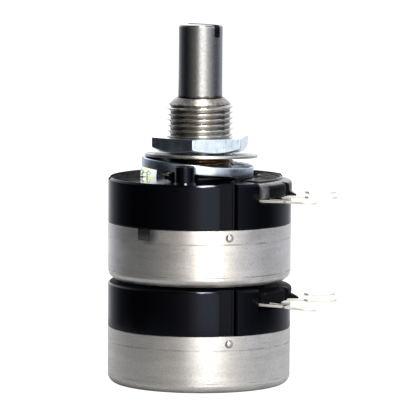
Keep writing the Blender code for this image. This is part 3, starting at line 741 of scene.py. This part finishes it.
def wound_wire():
    """Close turns of wire across the card, as ribs that run round it."""
    tree = Tree("resistance_wire")
    where = tree.add("ShaderNodeSeparateXYZ", {"Vector": tree.place()})
    angle = tree.maths("ARCTAN2", where.outputs["Y"], where.outputs["X"])
    turns_a_radian = 180.0
    turns = tree.maths("SINE", tree.times(angle, turns_a_radian))
    tree.colour = tree.tones(turns, (0.12, 0.10, 0.08), (0.52, 0.47, 0.40), -1.0, 1.0)
    ribs = tree.span(turns, 0.0, 1.0, -1.0, 1.0)
    rough = tree.span(turns, 0.45, 0.3, -1.0, 1.0)
    return tree.finish((ribs, 0.04 * MM, 0.8), metallic=1.0, roughness=rough)


# ---- Cans


def make_stake(base):
    """A small round bump raised from inside the wall."""
    quarter = arc(1.0, 0.0, math.pi / 2, 8)[:-1]
    dome = [(STAKE_R * across, STAKE_HEIGHT * up) for across, up in quarter]
    foot = -0.2 * MM
    stake = lathe("stake", [(0.0, foot), (STAKE_R, foot)] + dome + [(0.0, STAKE_HEIGHT)], 32)
    outward = Matrix.Rotation(STAKE_ANGLE, 4, "Z") @ Matrix.Rotation(math.pi / 2, 4, "Y")
    move_mesh(stake, Matrix.Translation(stake_middle(base)) @ outward)
    return stake


def make_can(gang, base, material):
    """A drawn cup with a rolled bottom corner and a sized band at its rim."""
    inner_r, cup_r = BODY_R - CAN_WALL, BODY_R - CAN_BAND_STEP
    low, high = base, base + CAN_HEIGHT
    hole_r = 0.0 if gang == "rear" else BUSH_STEM_R + 0.1 * MM
    profile = rounded([
        (hole_r, low, 0.0),
        (cup_r, low, CAN_CORNER_R),
        (cup_r, high - CAN_BAND, 0.0),
        (BODY_R, high - CAN_BAND + 2 * CAN_BAND_STEP, 0.0),
        (BODY_R, high, CAN_EDGE),
        (inner_r, high, CAN_EDGE),
        (inner_r, low + CAN_WALL, CAN_CORNER_R - CAN_WALL),
        (hole_r, low + CAN_WALL, 0.0),
    ], 8)
    can = lathe(f"{gang}_can_visual", profile)
    if gang == "front":
        size = (2 * MM, KEY_WIDTH, 2 * KEY_HEIGHT)
        combine(can, block("key_notch", size, (BODY_R, 0.0, high), KEY_ANGLE), "DIFFERENCE")
    combine(can, make_stake(base), "UNION")
    shade(can)
    round_wall(can)
    piece(can, "housing", "nickel_can", material, f"{gang}_can")


# ---- Cases


def case_outline(gang, base):
    """A cap with a skirt that stands inside the can and, in the front gang, a raised hub."""
    top = base + CASE_TOP
    skirt_r = BODY_R - CAN_WALL - SKIRT_GAP
    under = base + CAN_HEIGHT + CASE_GAP
    skirt_bottom = base + CASE_SKIRT
    hub = HUB_HEIGHT if gang == "front" else 0.0
    start = [(CASE_BORE_R, top + hub, 0.0)]
    if hub:
        start += [(HUB_R, top + hub, 0.1 * MM), (HUB_R, top, 0.0)]
    return rounded(start + [
        (BODY_R - CASE_EDGE, top, 0.08 * MM),
        (BODY_R, top - CASE_EDGE, 0.08 * MM),
        (BODY_R, under, 0.12 * MM),
        (skirt_r, under, 0.0),
        (skirt_r, skirt_bottom, 0.0),
        (CASE_CAVITY_R, skirt_bottom, 0.0),
        (CASE_CAVITY_R, top - CASE_ROOF, 0.0),
        (CASE_BORE_R, top - CASE_ROOF, 0.0),
    ], 6)


def make_case(gang, base, material):
    top = base + CASE_TOP
    case = lathe(f"{gang}_case_visual", case_outline(gang, base))

    notch = terminal_sector(NOTCH_INNER_R, BODY_R + MM, NOTCH_HALF)
    combine(case, prism("notch", [notch], top - NOTCH_DROP, top + MM), "DIFFERENCE")

    low, high = base + CAN_HEIGHT - 0.2 * MM, top + MM
    size = (2 * GROOVE_DEPTH, GROOVE_WIDTH, high - low)
    groove = block("groove", size, (BODY_R, 0.0, (high + low) / 2), GROOVE_ANGLE)
    soften(groove, 0.25 * MM, 3)
    combine(case, groove, "DIFFERENCE")

    if gang == "front":
        low, high = base + CAN_HEIGHT - KEY_HEIGHT + CASE_GAP, base + CAN_HEIGHT + MM
        inner_r, outer_r = BODY_R - CAN_WALL - 0.5 * MM, BODY_R - CASE_GAP
        size = (outer_r - inner_r, KEY_WIDTH - 2 * CASE_GAP, high - low)
        centre = ((outer_r + inner_r) / 2, 0.0, (high + low) / 2)
        combine(case, block("key", size, centre, KEY_ANGLE), "UNION")
    else:
        size = (1.0 * MM, VENT_WIDTH, 2 * VENT_HEIGHT)
        centre = (BODY_R, 0.0, base + CAN_HEIGHT)
        combine(case, block("vent", size, centre, VENT_ANGLE), "DIFFERENCE")
    soften(case, 0.1 * MM)
    if gang == "front":
        peg_profile = rounded([
            (0.0, top - 0.5 * MM, 0.0),
            (PEG_R + PEG_FOOT, top - 0.5 * MM, 0.0),
            (PEG_R + PEG_FOOT, top, 0.0),
            (PEG_R, top + PEG_FOOT, 0.0),
            (PEG_R, PEG_TOP, 0.22 * MM),
            (0.0, PEG_TOP, 0.0),
        ], 5)
        peg = lathe("peg", peg_profile, SMALL_STEPS)
        move_mesh(peg, Matrix.Translation((*PEG_XY, 0.0)))
        combine(case, peg, "UNION")
    shade(case)
    round_wall(case)
    piece(case, "housing", "black_phenolic", material, f"{gang}_case")


# ---- Terminal blocks and lugs


def make_tongue(gang, base):
    """The pointed run of moulding that lies on the middle lug."""
    direction, offset = LUG_LINES["wiper"]
    lug_top = LUG_TOP + base + LUG_RISE[gang]
    near_side, far_side = -offset - TONGUE_HALF, -offset + TONGUE_HALF
    outline = [
        (TONGUE_ROOT, near_side), (TONGUE_WAIST, near_side), (TONGUE_END[gang], -offset),
        (TONGUE_WAIST, far_side), (TONGUE_ROOT, far_side),
    ]
    tongue = prism("tongue", [outline], lug_top - 0.1 * MM, lug_top + TONGUE_HEIGHT)
    for vertex in tongue.data.vertices:
        if vertex.co.z > lug_top:
            along = (vertex.co.x - TONGUE_ROOT) / (TONGUE_END[gang] - TONGUE_ROOT)
            vertex.co.z -= TONGUE_FALL * along
    move_mesh(tongue, Matrix.Rotation(direction, 4, "Z"))
    return tongue


def cut_vee(body, low, high):
    """Cuts the upright groove in a terminal block's wall."""
    mouth, half = BLOCK_OUTER_R + 0.1 * MM, BLOCK_VEE["half"]
    outline = [(BLOCK_OUTER_R - BLOCK_VEE["depth"], 0.0), (mouth, -half), (mouth, half)]
    vee = prism("vee", [outline], low - MM, high + MM)
    move_mesh(vee, Matrix.Rotation(BLOCK_VEE["angle"], 4, "Z"))
    combine(body, vee, "DIFFERENCE")


def make_terminal_block(gang, base, material):
    """A block whose shoulder slopes down to its rim and, in the front gang, a pad on top."""
    start, end = TERMINAL_MIDDLE - BLOCK_HALF, TERMINAL_MIDDLE + BLOCK_HALF
    bottom = BLOCK_BOTTOM + base - BLOCK_FLASH
    shoulder = base + BLOCK_TOP[gang]
    profile = rounded([
        (BLOCK_INNER_R, bottom, 0.0),
        (BLOCK_OUTER_R, bottom, BLOCK_CORNER),
        (BLOCK_OUTER_R, shoulder - BLOCK_SLOPE, 0.4 * MM),
        (PAD_OUTER_R - 0.2 * MM, shoulder, 0.0),
        (BLOCK_INNER_R, shoulder, 0.0),
    ], 6)
    body = sweep(f"{gang}_terminal_block_visual", profile, start, end)
    cut_vee(body, bottom, shoulder)
    soften(body, BLOCK_CORNER, 6, 40)
    if gang == "front":
        outline = terminal_sector(BLOCK_INNER_R, PAD_OUTER_R, PAD_HALF)
        pad = prism("pad", [outline], shoulder - MM, BLOCK_HIGH.z - PAD_SINK)
        soften(pad, BLOCK_CORNER, 5, 50)
        combine(body, pad, "UNION")
    combine(body, make_tongue(gang, base), "UNION")
    make_lumpy(body, LUMP_CELL, 4, LUMPS)
    body.data.shade_smooth()
    piece(body, "housing", "block_phenolic", material[gang], f"{gang}_terminal_block")


def lug_outline(offset, inner_r):
    """A solder lug along +X, offset to the -Y side: a strip that runs straight out from the axis
    and bends just outside the case, two shoulders, and a head with a round tip."""
    bend = Vector((math.sqrt(LUG_BEND_R**2 - offset**2), -offset))
    inner_end = bend * (inner_r / LUG_BEND_R)
    sideways = Vector((-bend.y, bend.x)).normalized()
    inner_side = sideways * LUG_INNER_HALF
    mitre = sideways + Vector((0.0, 1.0))
    mitre *= 2 * LUG_NECK_HALF / mitre.length_squared
    widening = LUG_HEAD_HALF - LUG_NECK_HALF
    tip = arc(LUG_HEAD_HALF, -math.pi / 2, math.pi / 2, 24, (LUG_TIP - LUG_HEAD_HALF, -offset))
    head_start = LUG_SHOULDER + widening
    stations = spaced(head_start, LUG_TIP - LUG_HEAD_HALF, 5)[:-1]
    return [
        tuple(inner_end - inner_side), tuple(bend - mitre), (LUG_SHOULDER, -offset - LUG_NECK_HALF),
        *((x, -offset - LUG_HEAD_HALF) for x in stations),
        *tip,
        *((x, -offset + LUG_HEAD_HALF) for x in reversed(stations)),
        (LUG_SHOULDER, -offset + LUG_NECK_HALF), tuple(bend + mitre), tuple(inner_end + inner_side),
    ]


def eye_outline(offset):
    far = arc(LUG_EYE_R, -math.pi / 2, math.pi / 2, 14, (LUG_EYE_TO, -offset))
    near = arc(LUG_EYE_R, math.pi / 2, 1.5 * math.pi, 14, (LUG_EYE_FROM, -offset))
    return far + near


def make_lugs(gang, base, material):
    bottom = LUG_BOTTOM + base + LUG_RISE[gang]
    for name, (direction, offset) in LUG_LINES.items():
        outlines = [lug_outline(offset, LUG_INNER_R[name]), eye_outline(offset)]
        lug = prism(f"{gang}_lug_{name}_visual", outlines, bottom, bottom + LUG_THICKNESS)
        soften(lug, LUG_EDGE, 3, 50)
        droop = math.tan(LUG_DROOP.get((gang, name), 0.0))
        twist = math.tan(LUG_TWIST.get(name, 0.0))
        for vertex in lug.data.vertices:
            outside = max(0.0, vertex.co.x - LUG_BEND_R)
            vertex.co.z -= droop * outside
            vertex.co.z -= twist * (vertex.co.y + offset) * min(1.0, outside / LUG_HEAD_HALF)
        move_mesh(lug, Matrix.Rotation(direction, 4, "Z"))
        shade(lug)
        piece(lug, "housing", "tinned_brass", material, f"{gang}_terminal_{name}")


# ---- Shaft


def make_shaft(material):
    top = SHAFT_HIGH.z
    profile = rounded([
        (0.0, SHAFT_LOW.z, 0.0),
        (SHAFT_TAIL_R, SHAFT_LOW.z, 0.2 * MM),
        (SHAFT_TAIL_R, SHAFT_STEP, 0.0),
        (SHAFT_R, SHAFT_STEP, 0.0),
        (SHAFT_R, top, 0.4 * MM),
        (0.0, top, 0.0),
    ], 4)
    shaft = lathe("shaft_visual", profile)
    size = (4 * SHAFT_R, SLOT_WIDTH, 2 * SLOT_DEPTH)
    combine(shaft, block("slot", size, (0.0, 0.0, top), SLOT_ANGLE), "DIFFERENCE")
    soften(shaft, 0.04 * MM)
    shade(shaft)
    piece(shaft, "control_shaft", "steel_shaft", material, "shaft")


# ---- Threaded bush


def thread_radius(height, angle):
    """The bush's outside at a height and angle: a thread with straight flanks, cut back by the
    end chamfer."""
    phase = (height / THREAD_PITCH - angle / math.tau) % 1.0
    flank = 1.0 - abs(2.0 * phase - 1.0)
    flank = min(1.0, max(0.0, (flank - THREAD_ROOT) / THREAD_FLANK))
    radius = THREAD_R - THREAD_DEPTH * (1.0 - flank)
    down = BUSH_HIGH.z - height
    slope = (THREAD_R - BUSH_FACE_R) / BUSH_CHAMFER
    return min(radius, BUSH_FACE_R + slope * max(0.0, down))


def make_bushing(material):
    """The thread is one helix, from rows of points whose radius follows it."""
    around = 120
    rows_a_pitch = 14
    row_height = THREAD_PITCH / rows_a_pitch
    count = round((BUSH_HIGH.z - THREAD_BOTTOM) / row_height)
    flange_top = BUSH_LOW.z + BUSH_FLANGE
    angles = spaced(0.0, math.tau, around)[:-1]
    shape = bmesh.new()
    rings = []

    def ring(height, radii):
        rings.append([
            shape.verts.new(polar(radius, angle, height)) for angle, radius in zip(angles, radii)
        ])

    bore_edge = 0.22 * MM
    ring(BUSH_HIGH.z - bore_edge, [BUSH_BORE_R] * around)
    ring(BUSH_HIGH.z, [BUSH_BORE_R + bore_edge * 0.7] * around)
    for row in range(count + 1):
        height = BUSH_HIGH.z - row * row_height
        ring(height, [thread_radius(height, angle) for angle in angles])
    for radius, height in (
        (BUSH_STEM_R, THREAD_BOTTOM - 0.1 * MM),
        (BUSH_STEM_R, flange_top),
        (BUSH_FLANGE_R, flange_top),
        (BUSH_FLANGE_R, BUSH_LOW.z),
        (BUSH_BORE_R, BUSH_LOW.z),
    ):
        ring(height, [radius] * around)
    skin(shape, rings + rings[:1])
    bush = finish_mesh("bushing_visual", shape)
    shade(bush, 45)
    piece(bush, "housing", "nickel_bush", material, "bushing")


# ---- Nut and washers


def make_nut(material):
    """A hexagon with its lower corners turned off and both ends of its bore countersunk."""
    low, high = NUT_LOW.z, NUT_HIGH.z
    corner_r = NUT_ACROSS_FLATS / 2 / math.cos(math.pi / 6)
    slope = math.tan(math.radians(30))
    hexagon = arc(corner_r, 0.0, math.tau * 5 / 6, 5)
    nut = prism("mounting_nut_visual", [hexagon], low, high)
    blank_r = corner_r + 0.5 * MM
    blank = lathe("blank", [
        (0.0, low - MM),
        (NUT_CHAMFER_R, low - MM),
        (NUT_CHAMFER_R, low),
        (blank_r, low + slope * (blank_r - NUT_CHAMFER_R)),
        (blank_r, high + MM),
        (0.0, high + MM),
    ], 240)
    combine(nut, blank, "INTERSECT")
    mouth_r = NUT_BORE_R + NUT_COUNTERSINK + MM
    bore = lathe("bore", [
        (0.0, low - MM),
        (mouth_r, low - MM),
        (NUT_BORE_R, low + NUT_COUNTERSINK),
        (NUT_BORE_R, high - NUT_COUNTERSINK),
        (mouth_r, high + MM),
        (0.0, high + MM),
    ], 120)
    combine(nut, bore, "DIFFERENCE")
    soften(nut, STAMPED_EDGE)
    move_mesh(nut, Matrix.Rotation(NUT_VERTEX_ANGLE, 4, "Z"))
    shade(nut)
    piece(nut, "nut", "zinc_plate", material, "mounting_nut")


def washer_place(washer):
    tilt_x, tilt_y = washer["tilt"]
    turn = Matrix.Rotation(tilt_y, 4, "Y") @ Matrix.Rotation(tilt_x, 4, "X")
    return Matrix.Translation(washer["centre"]) @ turn


def washer_outline(washer, die_roll, burr):
    """A stamped ring: a soft round on the punch side and a small one on the other."""
    half = washer["thickness"] / 2
    bore_r = washer["bore_r"]
    return rounded([
        (bore_r, -half, burr),
        (WASHER_R, -half, burr),
        (WASHER_R, half, die_roll),
        (bore_r, half, die_roll),
    ], 4)


def make_flat_washer(material):
    washer = lathe("flat_washer_visual", washer_outline(FLAT_WASHER, 0.1 * MM, 0.05 * MM))
    move_mesh(washer, washer_place(FLAT_WASHER))
    shade(washer)
    piece(washer, "loose_washer", "zinc_plate", material, "flat_washer")


def make_locating_washer(material):
    """The thick washer and the tab bent down from its rim."""
    outline = washer_outline(LOCATING_WASHER, 0.18 * MM, 0.08 * MM)
    washer = lathe("locating_washer_visual", outline)
    hidden = LOCATING_WASHER["thickness"] / 2
    size = (TAB_SIZE[0], TAB_SIZE[1], TAB_SIZE[2] + hidden)
    tab = block("tab", size, (TAB_SIZE[0] / 2 - WASHER_R, 0.0, -size[2] / 2))
    combine(washer, tab, "UNION")
    soften(washer, STAMPED_EDGE, 2, 50)
    move_mesh(washer, washer_place(LOCATING_WASHER))
    shade(washer)
    piece(washer, "housing", "zinc_plate", material, "locating_washer")


# ---- Pieces that stay as the frame has them


def finish_inner_nodes():
    """A material for every node that is still shown."""
    metals = {
        "brass": ((0.55, 0.38, 0.14), (0.78, 0.60, 0.30), (0.22, 0.36), 2200.0),
        "spring_bronze": ((0.52, 0.28, 0.13), (0.74, 0.46, 0.26), (0.2, 0.34), 2600.0),
        "zinc_plate": ((0.45, 0.47, 0.52), (0.66, 0.69, 0.74), (0.25, 0.4), 2000.0),
    }
    others = {
        "card": ((0.20, 0.12, 0.06), (0.34, 0.22, 0.13), (0.5, 0.7), 1500.0),
        "rotor_phenolic": ((0.03, 0.018, 0.010), (0.08, 0.05, 0.03), (0.35, 0.55), 1800.0),
        "fibre": ((0.02, 0.017, 0.015), (0.05, 0.04, 0.035), (0.7, 0.9), 4000.0),
    }
    finishes = {"resistance_wire": wound_wire()}
    for metallic, looks in ((1.0, metals), (0.0, others)):
        for slot, look in looks.items():
            finishes[slot] = plain_inner(f"{slot}_inner", metallic, *look)
    slots = {row["node"]: row["material_slot"] for row in frame["record"]["subparts"]}
    for name, node in frame["nodes"].items():
        if not node.hide_render:
            node.data.materials.clear()
            node.data.materials.append(finishes[slots[name]])


# ---- Studio


def make_camera():
    """A long lens a little above the body, so that the verticals stay almost parallel."""
    distance = 0.62
    elevation = math.radians(6.1)
    roll = math.radians(0.36)
    aim = Vector((0.00066, 0.0, 0.0236))
    across = 0.0573
    data = bpy.data.cameras.new("camera")
    data.sensor_width = 36.0
    data.lens = data.sensor_width * distance / across
    camera = add_object("camera", data)
    back = Vector((0.0, -math.cos(elevation), math.sin(elevation)))
    camera.location = aim + back * distance
    facing = (-back).to_track_quat("-Z", "Y").to_matrix().to_4x4()
    camera.rotation_euler = (facing @ Matrix.Rotation(roll, 4, "Z")).to_euler()
    data.clip_start, data.clip_end = 0.01, 20.0
    bpy.context.scene.camera = camera


def make_floor():
    """A small pale table top, which the camera sees as burnt out to white, as the backdrop is."""
    floor = lathe("floor", [(0.0, -2 * MM), (0.07, -2 * MM), (0.07, 0.0), (0.0, 0.0)], 96)
    floor.location.z = -0.02 * MM
    tree = Tree("pale_floor")
    tree.set(colour=tree.mix(tree.noise(40.0), 0.38, 0.44), roughness=0.8)
    seen = tree.add("ShaderNodeLightPath").outputs["Is Camera Ray"]
    tree.set(glow_colour=1.0, glow=seen)
    floor.data.materials.append(tree.material)


def bearing_light(tree, share, stops):
    """Brightness by bearing: warm beside the bright front, cool round the sides and back."""
    colours = []
    for degrees, brightness in stops:
        warm = -40 < degrees < -2 or 20 < degrees < 40
        cool = 50 < abs(degrees) < 160
        tint = (1.05, 0.98, 0.90) if warm else (0.95, 0.98, 1.08) if cool else (1.0, 1.0, 1.0)
        level = tuple(brightness / STUDIO_PEAK * channel for channel in tint)
        colours.append((degrees / 360 + 0.5, level))
    return tree.ramp(share, *colours)


def make_world():
    """A tall soft light at the front right, a dark room at the front left and above the
    horizon behind, and a pale table behind. What the camera sees past the floor is white."""
    world = bpy.data.worlds.new("studio")
    bpy.context.scene.world = world
    world.use_nodes = True
    tree = Nodes(world.node_tree)
    tree.nodes.clear()
    where = tree.add("ShaderNodeTexCoord").outputs["Generated"]
    split = tree.add("ShaderNodeSeparateXYZ", {"Vector": where})
    toward_camera = tree.times(split.outputs["Y"], -1.0)
    bearing = tree.maths("ARCTAN2", split.outputs["X"], toward_camera)
    share = tree.span(bearing, 0.0, 1.0, -math.pi, math.pi)
    height = split.outputs["Z"]
    above = tree.span(height, 0.0, 1.0, 0.02, 0.14)
    colour = tree.mix(
        above, bearing_light(tree, share, LEVEL_LIGHT), bearing_light(tree, share, HIGH_LIGHT)
    )
    strength = tree.span(height, STUDIO_PEAK, 0.5 * STUDIO_PEAK, 0.5, 0.9)
    around = tree.add("ShaderNodeBackground", {"Color": colour, "Strength": strength})
    plain = tree.add("ShaderNodeBackground", {"Color": 1.0, "Strength": 1.2})
    seen = tree.add("ShaderNodeLightPath").outputs["Is Camera Ray"]
    sources = {"Fac": seen, 1: around.outputs[0], 2: plain.outputs[0]}
    choose = tree.add("ShaderNodeMixShader", sources)
    tree.add("ShaderNodeOutputWorld", {"Surface": choose.outputs[0]})


def make_flag():
    """A narrow black card behind the part, unseen by the camera, that keeps the pale backdrop's
    reflection off the flat top of the front case."""
    size = (46 * MM, 2 * MM, 7 * MM)
    flag = block("flag", size, (-10 * MM, 46 * MM, 33 * MM))
    flag.visible_camera = flag.visible_shadow = False
    tree = Tree("black_card")
    tree.set(colour=tree.mix(tree.noise(300.0), 0.002, 0.004), roughness=0.9, specular=0.05)
    flag.data.materials.append(tree.material)


def add_overhead_light():
    """A soft area light high above, a little to the front right, aimed at the part's middle."""
    bearing, elevation, distance = math.radians(37), math.radians(82.7), 0.6
    data = bpy.data.lights.new("overhead", "AREA")
    data.shape = "RECTANGLE"
    data.size, data.size_y = 0.12, 0.06
    data.energy = 1.8
    lamp = add_object("overhead", data)
    back = Vector(polar(math.cos(elevation), bearing - math.pi / 2, math.sin(elevation)))
    lamp.location = Vector((0.0, 0.0, 0.025)) + back * distance
    lamp.rotation_euler = (-back).to_track_quat("-Z", "Y").to_euler()


def main():
    make_camera()
    make_world()
    make_floor()
    make_flag()
    add_overhead_light()

    can, phenolic = nickel_can(), black_phenolic()
    rough_block = {
        "front": block_phenolic("front_block", 0.04, (0.12, 0.20), 1.0),
        "rear": block_phenolic("rear_block", 0.012, (0.40, 0.55), 0.0),
    }
    lug = tinned_lug()
    for gang, base in GANG_BASES.items():
        make_can(gang, base, can)
        make_case(gang, base, phenolic)
        make_terminal_block(gang, base, rough_block)
        make_lugs(gang, base, lug)
    make_shaft(steel_shaft())
    make_bushing(nickel_bush())
    cool = (0.62, 0.74, 0.86), (0.78, 0.90, 1.0)
    make_nut(zinc_plate("nut_zinc", (2600.0, 2600.0, 500.0), *cool))
    make_flat_washer(plain_washer())
    blue = (0.46, 0.54, 0.64), (0.58, 0.66, 0.76)
    make_locating_washer(zinc_plate("washer_zinc", (500.0, 500.0, 2600.0), *blue))
    finish_inner_nodes()

    bpy.context.scene.view_settings.view_transform = "Standard"


main()
